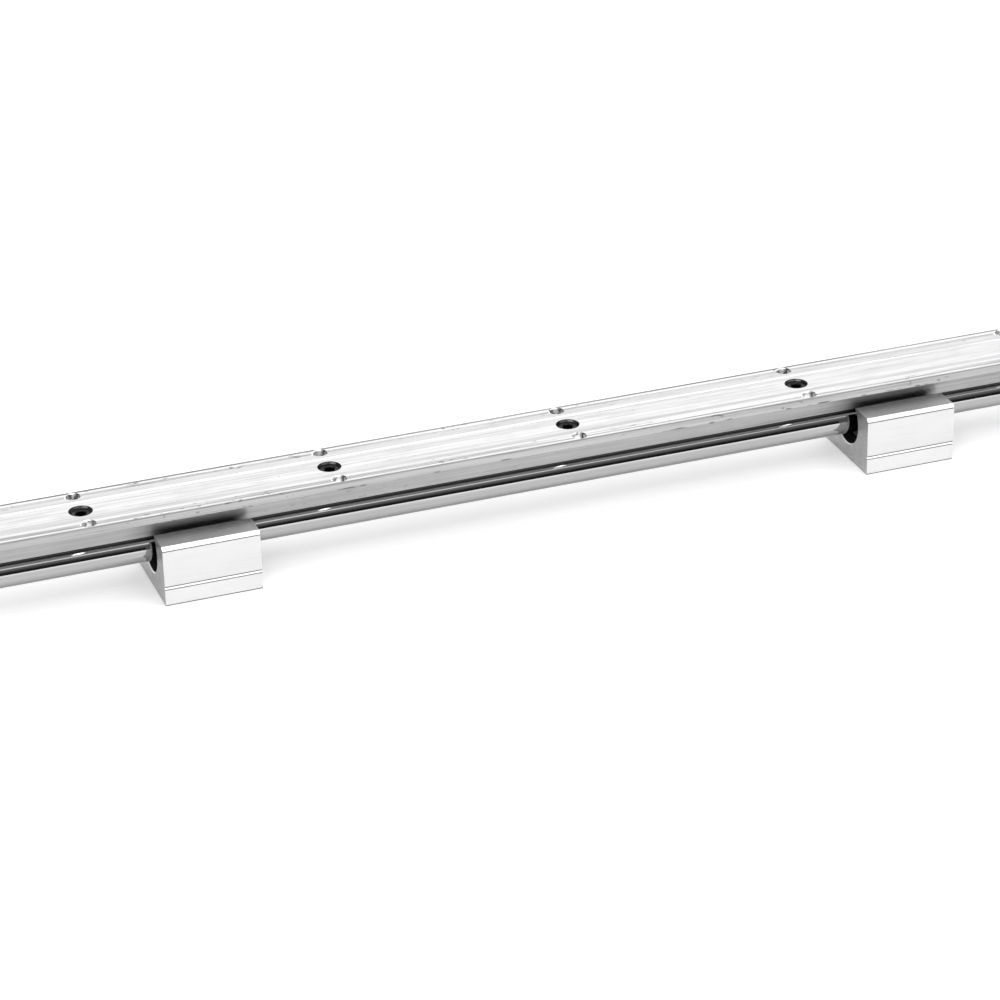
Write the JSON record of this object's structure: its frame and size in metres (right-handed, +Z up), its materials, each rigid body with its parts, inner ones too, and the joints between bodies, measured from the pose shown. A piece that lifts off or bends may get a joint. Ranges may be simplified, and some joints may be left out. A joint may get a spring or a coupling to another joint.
{
  "type": "supported round rail",
  "caption": "Round steel shaft screwed onto a flanged aluminium support rail, with open bearing blocks that slide along it; lies on the blocks' table faces.",
  "frame": {"origin": "centre of the footprint, on the floor under the blocks' table faces", "axes": "+X along the rail, +Y across it, +Z up, out of the rail's mounting face"},
  "size_m": [0.5, 0.04, 0.0375],
  "materials": {
    "extruded_aluminium": "plain extrusion with drawn lines",
    "hardened_steel": "ground and hard plated",
    "black_oxide": "black oxide",
    "anodised_aluminium": "clear satin anodised",
    "bearing_steel": "ground",
    "black_resin": "moulded",
    "seal_rubber": "matt"
  },
  "bodies": {
    "rail": {"support_rail": "extruded_aluminium", "guide_shaft": "hardened_steel", "shaft_screw_1": "black_oxide", "shaft_screw_2": "black_oxide", "shaft_screw_3": "black_oxide", "shaft_screw_4": "black_oxide", "shaft_screw_5": "black_oxide"},
    "block_left": {"block_left_housing": "anodised_aluminium", "block_left_bearing_shell": "bearing_steel", "block_left_ball_cage": "black_resin", "block_left_seal_near": "seal_rubber", "block_left_seal_far": "seal_rubber", "block_left_retaining_ring_near": "black_oxide", "block_left_retaining_ring_far": "black_oxide"},
    "block_right": {"block_right_housing": "anodised_aluminium", "block_right_bearing_shell": "bearing_steel", "block_right_ball_cage": "black_resin", "block_right_seal_near": "seal_rubber", "block_right_seal_far": "seal_rubber", "block_right_retaining_ring_near": "black_oxide", "block_right_retaining_ring_far": "black_oxide"}
  },
  "joints": [
    {"name": "left_slide", "type": "slide", "parent": "rail", "child": "block_left", "axis": [1, 0, 0], "range_m": [-0.075, 0.128]},
    {"name": "right_slide", "type": "slide", "parent": "rail", "child": "block_right", "axis": [1, 0, 0], "range_m": [-0.127, 0.0868]}
  ]
}
